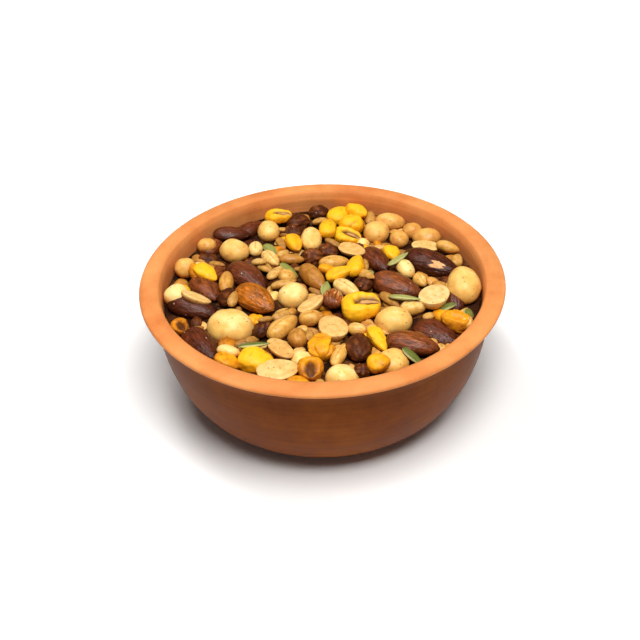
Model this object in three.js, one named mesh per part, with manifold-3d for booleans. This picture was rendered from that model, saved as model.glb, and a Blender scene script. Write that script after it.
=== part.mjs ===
// A terracotta bowl filled to just under its rim with trail mix: almonds, macadamias,
// peanuts, corn nuts, raisins, sunflower kernels and pumpkin seeds.
// Millimetres, +Z up. The origin is the middle of the bowl's foot, where it stands.

import * as THREE from "three";
import { mergeVertices } from "three/addons/utils/BufferGeometryUtils.js";
import Module from "manifold-3d";

// ---- driving dimensions ----

const RIM_R = 70; // the bowl is 140 mm across its lip
const BOWL_H = 53;
const FOOT_R = 35.2;
const NECK_R = 64.8; // the body's widest place, where the lip curls over it
const NECK_Z = 48;
const LIP_H = 3.3; // from under the lip's curl to its crest
const LIP_W = 7.8; // the lip's breadth, seen from above
const BODY_ROUNDING = 2.38; // 2 makes the side a quarter ellipse, more makes it squarer
const WALL = 3.1;
const FLOOR = 5.5;
const FOOT_BEVEL = 1.2; // how far the foot's edge is taken in, and a share of it up
const FOOT_EDGE = 0.4;
const LIP_FROM = -0.38 * Math.PI; // the lip's roll starts under its outer edge
const LIP_TO = 0.86 * Math.PI; // and ends on its inner one
const LIP_STEPS = 6;
const BOWL_TURNS = 48; // facets round the bowl
const SIDE_STEPS = 6; // facets up its side
const CORE_TURNS = 16;

const MIX_GAP = 0.4; // between the mix's core and the clay
const WALL_ROOM = 0.7; // and between the clay and the space that the pieces keep to
const MIX_LEVEL = 48.3; // where the tops of the pieces come to at the wall
const MIX_CROWN = 0.5; // how much higher they are in the middle
const CORE_DEPTH = 4.8; // the core under the pieces lies this far below their tops
const MIX_R = NECK_R - WALL - WALL_ROOM;
const FLARE = 0.26; // how much wider the hollow gets for each millimetre above the neck
const DEEPEST_TOP = 3.6; // where everything is this far down, the gap takes another piece
const BULKY = 6; // a piece this thick is bedded in the mix, and a slighter one lies on it
const PRESSED_IN = 1; // how far a slight piece beds into what carries it
const APART = 0.3; // between a bulky piece and those above it
const EDGE = 0.55; // pieces may press into each other where they are thinner than this share
const ROOTED = 0.6; // how far a bulky piece reaches into the core at least
const MOST_RISE = 1.5; // how far a neighbour may lift a piece above its level
const MOST_SINK = 1.8; // how far another may press a piece below its level
const MOST_LEAN = 0.55; // the steepest slope that a piece lies on
const LOLL = 0.12; // how far a bulky piece leans at random
const CELL = 1; // the grid on which heights are kept
const SAME_POINT = 1e-4; // points this near are one

// ---- the kinds ----

// wide and thick are shares of the length and of the width, for pieces that state none.
// blunt and sharp shape the two ends: 0.5 is round, less is squarer and more is pointed.
// square squares the section, and flat is how far a cut half stands out on its upper side.
const CRUMPLES = [5, 7]; // the creases round a raisin and along it
const KINDS = {
  almond: { wide: 0.55, thick: 0.72, blunt: 0.42, sharp: 0.66, sides: 6, rings: 6 },
  macadamia: { wide: 0.92, thick: 0.84, blunt: 0.5, sharp: 0.54, sides: 7, rings: 5 },
  half_nut: { wide: 0.75, thick: 0.5, blunt: 0.45, sharp: 0.52, flat: 0.25, sides: 6, rings: 5 },
  peanut: { wide: 0.58, thick: 0.85, blunt: 0.45, sharp: 0.62, sides: 6, rings: 4 },
  corn: { wide: 0.8, thick: 0.7, blunt: 0.34, sharp: 0.6, square: 0.75, sides: 6, rings: 5 },
  raisin: { wide: 0.75, thick: 0.8, blunt: 0.45, sharp: 0.5, crumple: 0.1, sides: 6, rings: 4 },
  sunflower: { wide: 0.42, thick: 0.6, blunt: 0.45, sharp: 0.7, sides: 5, rings: 4 },
  pumpkin: { wide: 0.42, thick: 0.42, blunt: 0.5, sharp: 0.8, sides: 5, rings: 4 },
};

// ---- where the pieces lie ----

// Each piece is x, y, turn, long, wide, lift, pitch and roll: the turn is its heading from +X,
// the lift says how far its top stands above the level of the mix, and the last two tip it.
const PLACES = {
  almond: [
    [-29.5, 10, -48, 21, 12.5, 0.5],
    [-25.5, -7, -48, 20, 12, 2],
    [-49.5, -9, -22, 20.5, 10.5, 2],
    [-45, -32, -58, 22, 10.5, 0.5],
    [-45.5, 3, -60, 18, 11, 0],
    [-45.5, 34.5, 60, 14, 8.5, 0.5],
    [-37.2, 40, 5, 16, 8.5, 1.5],
    [-30.5, 34.5, 60, 13, 8.5, -1.5],
    [-29.5, 47, 45, 15, 9, 0.5],
    [-42, 13.5, 60, 12, 8, -2],
    [44, 15, -32, 25, 13, 1.5],
    [29, -0.5, -29, 21, 12, 1.5],
    [22, 19, -65, 19, 10, 0],
    [41.5, -27, -42, 19.5, 12.5, 0],
    [32, -36.5, -20, 20, 11, 1.5],
    [50, -8, 85, 15, 8, -2],
    [4, -8.5, 80, 11, 8, 0.5],
  ],
  macadamia: [
    [-34.5, -21, -20, 18.5, 15, 1.5],
    [-35.5, 27.5, -35, 13.5, 11, 2],
    [-22, 42, 100, 11, 9.5, 1.5],
    [-51.5, 35, 0, 8, 7.4, 2.5],
    [-58.5, 16.5, 0, 9, 9, 3],
    [-59, -4, 90, 10, 10, 5],
    [-11.5, -4, 90, 12, 12, 1.5],
    [-4, 35, 90, 15, 9, 1],
    [26, -21, 90, 12.5, 14, 1.5],
    [57, -4, 90, 17, 13, 5.5, 22],
    [23.5, 40, 90, 12.5, 11, 1],
    [29.8, 47.5, -8, 13, 8.5, 0.5],
    [32.5, 34, 90, 10, 8, 0],
    [38.5, 39.5, 0, 8.5, 8, 0.5],
    [45, 35, -10, 12, 9.5, 1],
    [6, -51.5, 0, 12, 11, 0],
    [24, -44, 10, 12.5, 11.5, 0],
    [33, 8.5, -60, 9, 7, 0.5],
    [-8, -41, 0, 9, 8, 0],
  ],
  half_nut: [
    [42.5, -9, 66, 15, 11.5, 1.5],
    [3.5, -26, 100, 14, 11, 0.5],
    [-48, -7.5, -5, 12, 7, 1],
    [43, 26.5, -10, 12, 7, -1],
    [-16.5, -48.5, 8, 15, 9, 0.5],
    [-15.5, -37.5, -50, 12.5, 7.5, 0.5],
    [12.5, 24.5, -38, 12.5, 7.5, 1],
    [-4.5, -12.5, 52, 13, 7.5, 1],
  ],
  peanut: [
    [-15, -24, 48, 15, 8, 0.5],
    [-9.5, -30, 90, 10, 7.5, 0],
    [-34, -39, -15, 9, 5.5, -0.5],
    [5, 17.5, 8, 12.5, 6.5, 1],
    [-12, 20.5, 0, 10.5, 5, 0.5],
    [-3.5, 6.5, -62, 17, 8, 1],
    [5.5, -41, 68, 13, 5, -1],
    [9.5, -2.5, -45, 13, 6.5, 1],
    [34.5, -13.5, 25, 11.5, 7.5, 0],
    [51.5, 23.5, -20, 10, 5.5, 0],
    [-27, 30, 90, 9, 6, 0],
    [-20.5, 21.5, -62, 13, 6, 0.5],
    [-13.5, 7, 0, 7.5, 6.5, 0],
    [-37.5, 4.5, 90, 13, 6, 1],
    [12.5, -26, -10, 7.5, 5.5, -0.5],
    [-4.5, -19.5, 0, 9.5, 7, 0],
    [38.5, 4, -70, 8, 5.5, 0],
    [54.5, -26, 70, 7, 5, -1],
  ],
  corn: [
    [14.5, -13.5, 5, 15, 13, 2],
    [-24, -42.5, -20, 13.5, 11, 0.5],
    [-45.5, 8.5, -42, 11.5, 7, 1],
    [-54, -3, -60, 8.5, 7, 0.5],
    [-57, -24.5, -58, 9.5, 6.5, 0],
    [-34.5, -43, -30, 9.5, 7.5, -1.5],
    [-5, -48, 90, 10, 9.5, 0],
    [-1, -36, 88, 13, 9, 0.5],
    [19.7, -33, -68, 12.5, 6, 0.5],
    [19, -48, 0, 8.5, 7.5, 0],
    [7, 5.5, 8, 11.5, 6, 1],
    [3, 10, -5, 9, 5, 0],
    [13.5, 11, 88, 15, 7.5, 1],
    [28.5, 22, -80, 8.5, 7, 0],
    [49.5, -23, 70, 11, 10.5, 1],
    [8.5, 55, 58, 13, 8.5, 0.5],
    [16, 53, -62, 12, 8.5, 0.5],
    [13.5, 46.5, 80, 11.5, 10.5, 1],
    [11, 39, -30, 13, 9, 0.5],
    [3, 41, 88, 13.5, 7.5, 0],
    [-11, 32, -72, 12, 6.5, 0.5],
    [-17.8, 52, -15, 12, 8, 1],
    [-50, 11, -68, 11, 5.5, -1],
  ],
  raisin: [
    [12.5, -37.5, 88, 14, 9, 1],
    [-0.5, 56.5, 0, 9, 8, 0],
    [-9.5, 49.5, 30, 10.5, 8.5, 0],
    [-11, 45, 40, 10.5, 8.5, -0.5],
    [-47, 26, -30, 10, 8, -1],
    [-3.5, 23, 0, 9, 8, -0.5],
    [3, 27.5, 0, 9, 8, -1],
    [-36.5, -5.5, 60, 8.5, 7, -0.5],
    [16, -0.5, 0, 8, 6.5, 0],
    [-22.5, -24.5, 60, 9, 7, -2],
    [13, -50, 0, 6, 5.5, -0.5],
  ],
  sunflower: [
    [-25, 18, -50, 10.5, 4.4, 1],
    [-22.5, 15, -52, 10, 4.6, 0.5],
    [-18.2, 11.5, 62, 11.5, 5, -0.5],
    [-45, 12.5, -38, 8.5, 4.2, 0.5],
    [-42, 17.5, -45, 9, 4, 0],
    [-15, 2, 5, 10.5, 4.4, 0.5],
    [-15, -14.5, 28, 10, 4.4, -0.5],
    [-21, -21, 50, 8, 4, 0],
    [-34, -8.5, 80, 7.5, 4, 0],
    [17, 14, 88, 11, 4, 0.5],
    [17, 3, -50, 12, 4.2, 0.5],
    [25.5, -9.5, -60, 13, 4.4, 0],
    [5.5, 29, -25, 9, 4.5, 0.5],
    [0, 47.5, -40, 9.5, 4.6, 0.5],
    [21.5, 51, 85, 9.5, 5, 0],
    [24.7, 28, 10, 7, 4, 0],
    [54.5, 16.5, 70, 8, 5, 0],
    [49.5, -4, -50, 7, 4.4, -1],
    [39.7, -18, 60, 6.5, 4.2, 0],
    [-15.5, 25, 60, 7.5, 4.6, 0.5],
    [-16.5, 34.5, -70, 9, 4, 0],
    [-5, -29.5, 80, 7.5, 3.6, 0],
  ],
  pumpkin: [
    [-25, -36.5, 8, 12, 5.4, 1],
    [31, -12, -27, 13, 5.5, 0.5],
    [30.5, 12.5, 48, 12.5, 5, 1],
    [-13, 13.5, -50, 11, 4, 0.5],
    [-21, 30, -60, 11.5, 4.2, 0.5],
    [18, 6, 85, 10, 5, 0],
    [1.5, -1.5, 85, 10, 4.6, 0],
    [31.5, -44, -30, 10, 4.2, 0],
    [54.5, -18.5, 70, 9, 4.2, 0],
    [47, -13.5, 10, 9, 4.4, 0],
  ],
};

// The pieces deeper down that show through the gaps are drawn from these kinds.
const DEEP_KINDS = ["peanut", "corn", "raisin", "macadamia", "peanut"];
const DEEP_LONG = [8.4, 12.6];
const DEEP_LIFT = [-3.4, -2.2];
const DEEP_SPACING = 9.1; // the grid on which they are tried, and how far it is shaken
const DEEP_SHAKE = 0.3 * DEEP_SPACING;
const DEEP_SINK = 2.5; // and one that would go further than this under others is left out
const DEEP_R = MIX_R - 0.8; // the bowl is a little narrower where they lie
const GAP_R = 2.2; // a gap this wide takes one
const DEEP_FACETS = { sides: 5, rings: 3 };

// ---- a settled heap ----

// A linear congruential generator, so that every build draws the same numbers.
let seed = 20;
function draw(low, high) {
  seed = (seed * 1664525 + 1013904223) % 4294967296;
  return low + ((high - low) * seed) / 4294967296;
}

// Two maps on one grid: the top of what lies at each place, and the underside of what is there.
const REACH = Math.ceil(MIX_R / CELL) + 2;
const ROW = 2 * REACH + 1;
const tops = new Float64Array(ROW * ROW);
const undersides = new Float64Array(ROW * ROW).fill(Infinity);

function level(x, y) {
  return MIX_LEVEL + MIX_CROWN * (1 - (x * x + y * y) / (MIX_R * MIX_R));
}

for (let j = 0; j < ROW; j += 1) {
  for (let i = 0; i < ROW; i += 1) {
    tops[j * ROW + i] = level((i - REACH) * CELL, (j - REACH) * CELL) - CORE_DEPTH;
  }
}

// The girth of a piece along its length, 1 at its fullest: s runs from -1 to 1.
function girth(s, blunt, sharp) {
  const fullest = (blunt - sharp) / (blunt + sharp);
  const most = (1 + fullest) ** blunt * (1 - fullest) ** sharp;
  return (Math.max(0, 1 + s) ** blunt * Math.max(0, 1 - s) ** sharp) / most;
}

// The cells that a piece covers, each with its place across the piece and the piece's half
// thickness there.
function footprint(piece) {
  const turn = THREE.MathUtils.degToRad(piece.turn);
  const span = Math.max(piece.halfLong, piece.halfWide);
  const cells = [];
  const low = (middle) => Math.max(0, Math.ceil((middle - span) / CELL) + REACH);
  const high = (middle) => Math.min(ROW - 1, Math.floor((middle + span) / CELL) + REACH);
  for (let j = low(piece.y); j <= high(piece.y); j += 1) {
    for (let i = low(piece.x); i <= high(piece.x); i += 1) {
      const dx = (i - REACH) * CELL - piece.x;
      const dy = (j - REACH) * CELL - piece.y;
      const along = (dx * Math.cos(turn) + dy * Math.sin(turn)) / piece.halfLong;
      const across = (dy * Math.cos(turn) - dx * Math.sin(turn)) / piece.halfWide;
      if (Math.abs(along) >= 1) continue;
      const { blunt, sharp } = KINDS[piece.kind];
      const within = girth(along, blunt, sharp) ** 2 - across * across;
      if (within > 0) cells.push({ at: j * ROW + i, dx, dy, half: piece.halfThick * Math.sqrt(within) });
    }
  }
  return cells;
}

// The slope of the plane that best fits the tops under a piece, eased to one it can lie on.
function slopeUnder(cells) {
  const sum = (term) => cells.reduce((total, cell) => total + term(cell), 0);
  const middle = { x: sum((c) => c.dx) / cells.length, y: sum((c) => c.dy) / cells.length };
  const xx = sum((c) => (c.dx - middle.x) ** 2);
  const yy = sum((c) => (c.dy - middle.y) ** 2);
  const xy = sum((c) => (c.dx - middle.x) * (c.dy - middle.y));
  const xh = sum((c) => (c.dx - middle.x) * tops[c.at]);
  const yh = sum((c) => (c.dy - middle.y) * tops[c.at]);
  const size = xx * yy - xy * xy;
  const slope = [(xh * yy - yh * xy) / size, (yh * xx - xh * xy) / size];
  const steep = Math.hypot(...slope);
  return steep > MOST_LEAN ? slope.map((s) => (s * MOST_LEAN) / steep) : slope;
}

// A piece of the mix, with the half sizes of the space that it takes once it is tipped. One
// that would cross the wall lies further in, and a bulky one reaches into the core at least.
function pieceAt(kind, [x, y, turn, long, wide, lift, pitch = 0, roll = 0], room = MIX_R) {
  const thick = wide * KINDS[kind].thick;
  const tip = THREE.MathUtils.degToRad(pitch);
  const rolled = THREE.MathUtils.degToRad(roll);
  const upright = Math.hypot(wide * Math.sin(rolled), thick * Math.cos(rolled)) / 2;
  const piece = { kind, x, y, turn, long, wide, thick, lift, pitch, roll };
  piece.halfLong = Math.hypot((long / 2) * Math.cos(tip), upright * Math.sin(tip));
  piece.halfWide = Math.hypot(wide * Math.cos(rolled), thick * Math.sin(rolled)) / 2;
  piece.halfThick = Math.hypot((long / 2) * Math.sin(tip), upright * Math.cos(tip));
  if (2 * piece.halfThick >= BULKY) piece.lift = Math.min(lift, 2 * piece.halfThick - CORE_DEPTH - ROOTED);
  const aboveNeck = Math.max(0, level(x, y) + piece.lift - piece.halfThick - NECK_Z);
  const bearing = Math.atan2(y, x) - THREE.MathUtils.degToRad(turn);
  const flared = aboveNeck > 0 ? FLARE * piece.halfThick : 0;
  const spread = Math.hypot(piece.halfLong * Math.cos(bearing), piece.halfWide * Math.sin(bearing), flared);
  const inwards = Math.min(1, (room + FLARE * aboveNeck - spread) / Math.hypot(x, y));
  piece.x *= inwards;
  piece.y *= inwards;
  return piece;
}

// A bulky piece has its top at its level, or lower where it goes under one that is there. It
// says whether there was room for it within sink of its level.
function bed(piece, sink) {
  const cells = footprint(piece);
  const [leanX, leanY] = (piece.lean = [draw(-LOLL, LOLL), draw(-LOLL, LOLL)]);
  const seat = level(piece.x, piece.y) + piece.lift - piece.halfThick;
  let roof = Infinity;
  for (const { at, dx, dy, half } of cells) {
    if (half <= EDGE * piece.halfThick) continue;
    roof = Math.min(roof, undersides[at] - (leanX * dx + leanY * dy + half));
  }
  const fits = roof - APART > seat - sink;
  piece.z = Math.max(Math.min(seat, roof - APART), seat - sink);
  if (fits || sink === MOST_SINK) mark(piece, cells);
  return fits;
}

// A slight piece lies on what is under it and leans as that does.
function drop(piece) {
  const cells = footprint(piece);
  const [leanX, leanY] = (piece.lean = slopeUnder(cells));
  let rest = -Infinity;
  for (const { at, dx, dy, half } of cells) {
    rest = Math.max(rest, tops[at] - (leanX * dx + leanY * dy - half));
  }
  const seat = level(piece.x, piece.y) + piece.lift - piece.halfThick;
  piece.z = Math.min(rest - PRESSED_IN, seat + MOST_RISE);
  mark(piece, cells);
}

function mark(piece, cells) {
  const [leanX, leanY] = piece.lean;
  for (const { at, dx, dy, half } of cells) {
    const middle = piece.z + leanX * dx + leanY * dy;
    tops[at] = Math.max(tops[at], middle + half);
    if (half > EDGE * piece.halfThick) undersides[at] = Math.min(undersides[at], middle - half);
  }
}

// The bulky pieces are set from the highest down and, of those at one level, the broader first.
const chosen = Object.entries(PLACES).flatMap(([kind, rows]) => rows.map((row) => pieceAt(kind, row)));
const bulky = chosen.filter((piece) => piece.halfThick * 2 >= BULKY);
bulky.sort((a, b) => b.lift - a.lift || b.wide - a.wide);
bulky.forEach((piece) => bed(piece, MOST_SINK));

// Then the gaps between them are filled from below, on a grid that is shaken a little.
const deep = [];
const across = Math.floor(MIX_R / DEEP_SPACING);
for (let j = -across; j <= across; j += 1) {
  for (let i = -across; i <= across; i += 1) {
    const x = i * DEEP_SPACING + draw(-DEEP_SHAKE, DEEP_SHAKE);
    const y = j * DEEP_SPACING + draw(-DEEP_SHAKE, DEEP_SHAKE);
    const kind = DEEP_KINDS[Math.floor(draw(0, DEEP_KINDS.length))];
    const long = draw(...DEEP_LONG);
    const turn = draw(0, 180);
    const lift = draw(...DEEP_LIFT);
    if (Math.hypot(x, y) > DEEP_R - GAP_R) continue;
    const here = { kind, x, y, turn, halfLong: GAP_R, halfWide: GAP_R, halfThick: 0 };
    if (footprint(here).some(({ at }) => tops[at] > level(x, y) - DEEPEST_TOP)) continue;
    const piece = pieceAt(kind, [x, y, turn, long, long * KINDS[kind].wide, lift], DEEP_R);
    piece.coarse = true;
    if (bed(piece, DEEP_SINK)) deep.push(piece);
  }
}

// Last come the slight ones, the broader first.
const slight = chosen.filter((piece) => piece.halfThick * 2 < BULKY);
slight.sort((a, b) => a.lift - b.lift || b.wide - a.wide);
slight.forEach(drop);
const pieces = [...bulky, ...deep, ...slight];

// ---- solids ----

const wasm = await Module();
wasm.setup();

function solidOf(geometry) {
  const bare = geometry.clone();
  bare.deleteAttribute("normal");
  bare.deleteAttribute("uv");
  const merged = mergeVertices(bare, SAME_POINT);
  return new wasm.Manifold(new wasm.Mesh({
    numProp: 3,
    vertProperties: new Float32Array(merged.attributes.position.array),
    triVerts: new Uint32Array(merged.index.array),
  }));
}

function geometryOf(solid) {
  const mesh = solid.getMesh();
  const geometry = new THREE.BufferGeometry();
  geometry.setAttribute("position", new THREE.BufferAttribute(new Float32Array(mesh.vertProperties), 3));
  geometry.setIndex(new THREE.BufferAttribute(new Uint32Array(mesh.triVerts), 1));
  geometry.computeVertexNormals();
  return geometry;
}

// A piece is a ball drawn out to its kind's form, then tipped, turned and set down.
function pieceSolid(piece) {
  const { blunt, sharp, square = 1, flat = 1, crumple = 0 } = KINDS[piece.kind];
  const { sides, rings } = piece.coarse ? DEEP_FACETS : KINDS[piece.kind];
  const ball = new THREE.SphereGeometry(1, sides, rings);
  const point = ball.attributes.position;
  const fuller = 1 / Math.sqrt(Math.cos(Math.PI / sides)); // facets cut the girth, and this restores it
  const squared = (value) => Math.sign(value) * Math.abs(value) ** square;
  for (let k = 0; k < point.count; k += 1) {
    const s = THREE.MathUtils.clamp(point.getY(k), -1, 1);
    const angle = Math.atan2(point.getZ(k), point.getX(k));
    const full = fuller * girth(s, blunt, sharp);
    const round = full * (1 + crumple * Math.sin(CRUMPLES[0] * angle + CRUMPLES[1] * s));
    const up = Math.cos(angle);
    const y = (piece.wide / 2) * round * squared(Math.sin(angle));
    const z = (piece.thick / 2) * round * squared(up) * (up > 0 ? flat : 2 - flat);
    point.setXYZ(k, (piece.long / 2) * s, y, z);
  }

  const tipped = new THREE.Matrix4()
    .makeRotationY(THREE.MathUtils.degToRad(-piece.pitch))
    .multiply(new THREE.Matrix4().makeRotationX(THREE.MathUtils.degToRad(piece.roll)));
  const turn = THREE.MathUtils.degToRad(piece.turn);
  const above = new THREE.Vector3(-piece.lean[0], -piece.lean[1], 1).normalize();
  const side = above.clone().cross(new THREE.Vector3(Math.cos(turn), Math.sin(turn), 0)).normalize();
  const ahead = side.clone().cross(above);
  const placed = new THREE.Matrix4().makeBasis(ahead, side, above).setPosition(piece.x, piece.y, piece.z);
  ball.applyMatrix4(placed.multiply(tipped));
  return solidOf(ball);
}

// ---- the bowl ----

// A side is a quarter of a superellipse, from its foot up to its widest place: u runs from 0 to 1.
function side(foot, bottom, widest, u) {
  const power = 2 / BODY_ROUNDING;
  const angle = (u * Math.PI) / 2;
  const radius = foot + (widest - foot) * Math.sin(angle) ** power;
  return new THREE.Vector2(radius, bottom + (NECK_Z - bottom) * (1 - Math.cos(angle) ** power));
}

function outerSide() {
  const points = [new THREE.Vector2(FOOT_R - FOOT_BEVEL, 0)];
  points.push(new THREE.Vector2(FOOT_R, FOOT_EDGE * FOOT_BEVEL));
  for (let k = 1; k <= SIDE_STEPS; k += 1) points.push(side(FOOT_R, 0, NECK_R, k / SIDE_STEPS));
  return points;
}

// The lip's rounded roll, from its underside over the crest to its inner edge.
function lipRoll() {
  const roll = new THREE.EllipseCurve(
    RIM_R - LIP_W / 2, BOWL_H - LIP_H / 2, LIP_W / 2, LIP_H / 2, LIP_FROM, LIP_TO);
  return roll.getPoints(LIP_STEPS);
}

function innerSide() {
  const points = [];
  for (let k = SIDE_STEPS; k >= 0; k -= 1) {
    points.push(side(FOOT_R - WALL, FLOOR, NECK_R - WALL, k / SIDE_STEPS));
  }
  return points;
}

function bowl() {
  const profile = [
    new THREE.Vector2(0, 0), ...outerSide(), ...lipRoll(), ...innerSide(), new THREE.Vector2(0, FLOOR),
  ];
  const lathe = new THREE.LatheGeometry(profile, BOWL_TURNS).rotateX(Math.PI / 2);
  const clay = new THREE.MeshStandardMaterial({ color: 0xc4753f, roughness: 0.75, metalness: 0 });
  const mesh = new THREE.Mesh(geometryOf(solidOf(lathe)), clay);
  mesh.name = "bowl";
  return mesh;
}

// ---- the mix ----

// The core fills the bowl up to a crowned top, under the pieces that show. It keeps to the
// bowl's own facets, a gap further in.
function core() {
  const top = MIX_LEVEL - CORE_DEPTH;
  const inset = (radius) => radius * Math.cos(Math.PI / BOWL_TURNS) - MIX_GAP;
  const profile = [new THREE.Vector2(0, FLOOR + MIX_GAP)];
  for (const { x, y } of innerSide().reverse()) {
    if (y < top) profile.push(new THREE.Vector2(inset(x), Math.max(y, FLOOR + MIX_GAP)));
  }
  profile.push(new THREE.Vector2(profile.at(-1).x, top));
  profile.push(new THREE.Vector2(MIX_R / 2, level(MIX_R / 2, 0) - CORE_DEPTH));
  profile.push(new THREE.Vector2(0, level(0, 0) - CORE_DEPTH));
  return solidOf(new THREE.LatheGeometry(profile, CORE_TURNS).rotateX(Math.PI / 2));
}

function trailMix() {
  const heap = wasm.Manifold.union([core(), ...pieces.map(pieceSolid)]);
  // Fusing can shut in a hollow or leave a scrap: the one body that is kept has neither.
  const bodies = heap.decompose().sort((a, b) => b.volume() - a.volume());
  const food = new THREE.MeshStandardMaterial({ color: 0xd9a75c, roughness: 0.6, metalness: 0 });
  const mesh = new THREE.Mesh(geometryOf(bodies[0]), food);
  mesh.name = "trail_mix";
  return mesh;
}

const part = new THREE.Group();
part.add(bowl(), trailMix());

export default part;
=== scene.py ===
"""A terracotta bowl filled to just under its rim with trail mix."""

import math

import bmesh
import bpy
from mathutils import Matrix, Vector, noise


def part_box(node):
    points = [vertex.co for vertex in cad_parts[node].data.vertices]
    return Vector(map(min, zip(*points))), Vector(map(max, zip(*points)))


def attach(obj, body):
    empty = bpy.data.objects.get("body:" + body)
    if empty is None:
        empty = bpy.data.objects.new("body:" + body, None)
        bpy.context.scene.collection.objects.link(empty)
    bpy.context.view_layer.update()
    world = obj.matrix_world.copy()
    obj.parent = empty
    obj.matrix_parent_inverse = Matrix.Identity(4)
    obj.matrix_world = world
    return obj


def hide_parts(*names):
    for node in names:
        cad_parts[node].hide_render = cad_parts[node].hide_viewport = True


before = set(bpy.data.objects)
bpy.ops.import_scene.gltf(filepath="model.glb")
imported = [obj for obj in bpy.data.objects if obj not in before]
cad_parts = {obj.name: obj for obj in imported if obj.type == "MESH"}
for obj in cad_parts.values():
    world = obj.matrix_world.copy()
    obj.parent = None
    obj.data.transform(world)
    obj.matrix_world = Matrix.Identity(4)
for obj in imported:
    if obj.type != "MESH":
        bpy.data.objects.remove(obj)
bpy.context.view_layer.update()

# ---- the bowl ----
# A wheel-thrown bowl of red earthenware with a rolled lip. It is turned in one piece, left
# unglazed and fired: bright orange where the clay was burnished. The outside, up under the roll of
# the lip, is painted dark brown, partly for rawer clay and partly as painted shade, and the hollow
# has a little of that painted shade.

MM = 0.001
RIM_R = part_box("bowl")[1].x
BOWL_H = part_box("bowl")[1].z
FOOT_R = 35.2 * MM
NECK_R = 64.8 * MM
NECK_Z = 48 * MM
LIP_H = 3.3 * MM
LIP_W = 7.8 * MM
WALL = 3.1 * MM
FLOOR = 5.5 * MM
FOOT_BEVEL = 1.2 * MM
FOOT_EDGE = 0.4 * FOOT_BEVEL  # how far the bevel comes up the side
BODY_ROUNDING = 2.38  # 2 is a quarter of an ellipse, and more is squarer
LIP_FROM = -0.38  # where the roll of the lip starts under it, in half turns
LIP_ROLL = 1.24  # and how far round it goes
BOWL_TURNS = 144
SIDE_STEPS = 22
LIP_STEPS = 18
THROWING = 0.07 * MM  # how deep the maker's fingers left their rings
RING_PITCH = 3.1 * MM
UNDER_LIP_SHADE_END = 0.25  # the share of the lip's roll over which the dark outside, painted shade and rawer clay, gives way to the burnished
HOLLOW_SHADE = 0.13  # how far the hollow is painted towards the dark outside, as painted shade


def side(foot, bottom, widest, u):
    """A point of the bowl's side, a quarter of a superellipse, from its foot up to its neck."""
    power = 2 / BODY_ROUNDING
    angle = u * math.pi / 2
    radius = foot + (widest - foot) * math.sin(angle) ** power
    return Vector((radius, 0, bottom + (NECK_Z - bottom) * (1 - math.cos(angle) ** power)))


def to_linear(colour):
    """The linear RGBA of an sRGB hex value."""
    channels = [int(colour[k : k + 2], 16) / 255 for k in (0, 2, 4)]
    return [c / 12.92 if c < 0.04045 else ((c + 0.055) / 1.055) ** 2.4 for c in channels] + [1]


def add(tree, kind, inputs=(), stops=(), **settings):
    """Adds a shader node. Each input is a value, a hex colour or another node's socket, under its
    name or its number: 6 and 7 are the colours of a Mix, 1 to 4 the two ranges of a MapRange."""
    made = tree.nodes.new("ShaderNode" + kind)
    for name, value in settings.items():
        setattr(made, name, value)
    for name, value in dict(inputs).items():
        if isinstance(value, bpy.types.NodeSocket):
            tree.links.new(value, made.inputs[name])
        else:
            made.inputs[name].default_value = to_linear(value) if isinstance(value, str) else value
    for place, _ in stops[1:-1]:
        made.color_ramp.elements.new(place)
    for k, (place, colour) in enumerate(stops):
        made.color_ramp.elements[k].position = place
        made.color_ramp.elements[k].color = to_linear(colour)
    return made


def new_material(name):
    """An empty material and its node tree."""
    material = bpy.data.materials.new(name)
    material.use_nodes = True
    material.node_tree.nodes.clear()
    return material, material.node_tree


def finish(tree, colour, roughness, bump=None, **values):
    """Ends a material in its surface, whose uniform values stay on the shader's own sockets."""
    surface = add(tree, "BsdfPrincipled", {"Base Color": colour, "Roughness": roughness})
    for name, value in values.items():
        surface.inputs[name.replace("_", " ")].default_value = value
    if bump:
        tree.links.new(bump, surface.inputs["Normal"])
    add(tree, "OutputMaterial", {"Surface": surface.outputs[0]})


def put(name, data):
    """Puts an object in the scene."""
    made = bpy.data.objects.new(name, data)
    bpy.context.scene.collection.objects.link(made)
    return made


def solid(name, shape, material):
    """Makes a bmesh an object of one material."""
    mesh = bpy.data.meshes.new(name)
    shape.to_mesh(mesh)
    shape.free()
    mesh.materials.append(material)
    return put(name, mesh)


def mesh_object(name, shape, material, node):
    """Makes a bmesh an object of the part, in the place of the node that it stands for."""
    made = solid(name, shape, material)
    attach(made, "root")
    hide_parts(node)


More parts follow.
